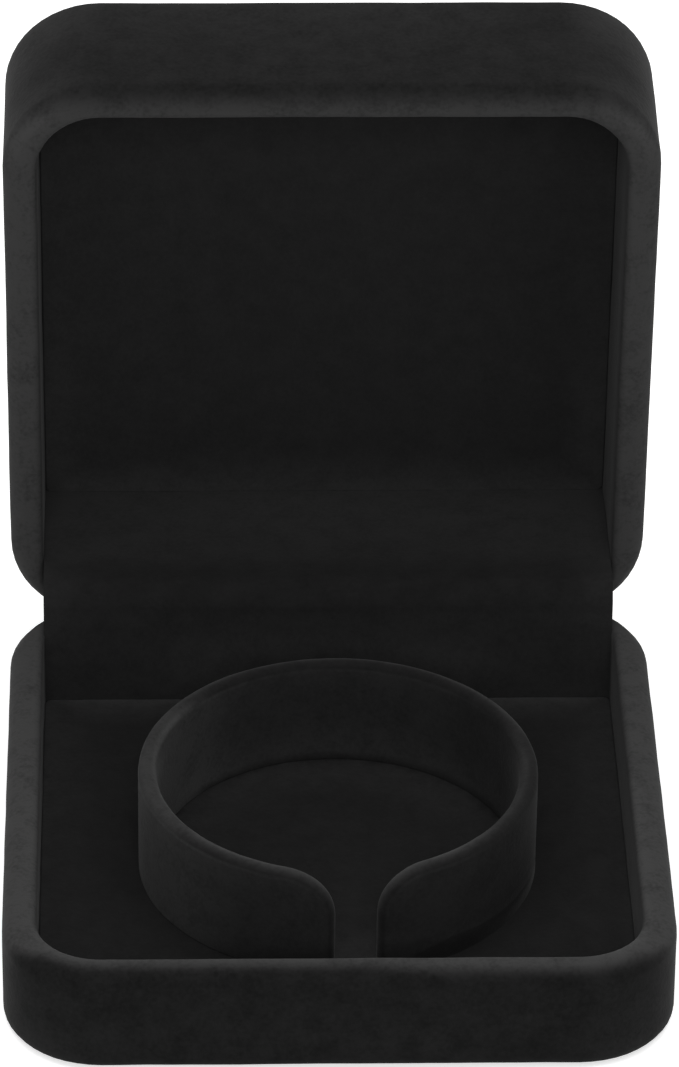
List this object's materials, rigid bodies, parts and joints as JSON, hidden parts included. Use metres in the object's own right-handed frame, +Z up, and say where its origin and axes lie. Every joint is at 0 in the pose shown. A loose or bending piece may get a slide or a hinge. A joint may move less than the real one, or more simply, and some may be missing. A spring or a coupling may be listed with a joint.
{
  "type": "bangle box",
  "caption": "Square velvet-covered keepsake box with a deep hinged lid that snaps open and shut, and an upright C-shaped collar on its floor for a bangle.",
  "frame": {"origin": "centre of the underside, on the surface that the box stands on", "axes": "+Z up, -Y towards the front where the lid opens, +X to the right seen from the front; the hinge runs along X at the rear"},
  "size_m": [0.09, 0.1137, 0.1031],
  "materials": {
    "cover_velvet": "black velvet, short pile",
    "lining_velvet": "black velvet, short pile",
    "shell_plastic": "moulded black plastic",
    "lining_board": "grey board",
    "hinge_steel": "plated strip steel"
  },
  "bodies": {
    "base": {"base_shell": "shell_plastic", "base_velvet_cover": "cover_velvet", "underside_sheet": "cover_velvet", "floor_board": "lining_board", "floor_velvet": "lining_velvet", "collar_core": "lining_board", "collar_velvet": "lining_velvet", "hinge_base_leaf": "hinge_steel", "hinge_pin": "hinge_steel", "hinge_base_rivet_left": "hinge_steel", "hinge_base_rivet_right": "hinge_steel", "hinge_bow_spring": "hinge_steel", "spine_card": "lining_board", "spine_velvet": "lining_velvet"},
    "lid": {"lid_shell": "shell_plastic", "lid_velvet_cover": "cover_velvet", "lid_panel_board": "lining_board", "lid_panel_velvet": "lining_velvet", "hinge_lid_leaf": "hinge_steel", "hinge_lid_rivet_left": "hinge_steel", "hinge_lid_rivet_right": "hinge_steel"}
  },
  "joints": [
    {"name": "lid_hinge", "type": "hinge", "parent": "base", "child": "lid", "pos_m": [0, 0.043, 0.01357], "axis": [1, 0, 0], "range_deg": [0, 86], "deforming": ["hinge_bow_spring", "spine_card", "spine_velvet"]}
  ]
}
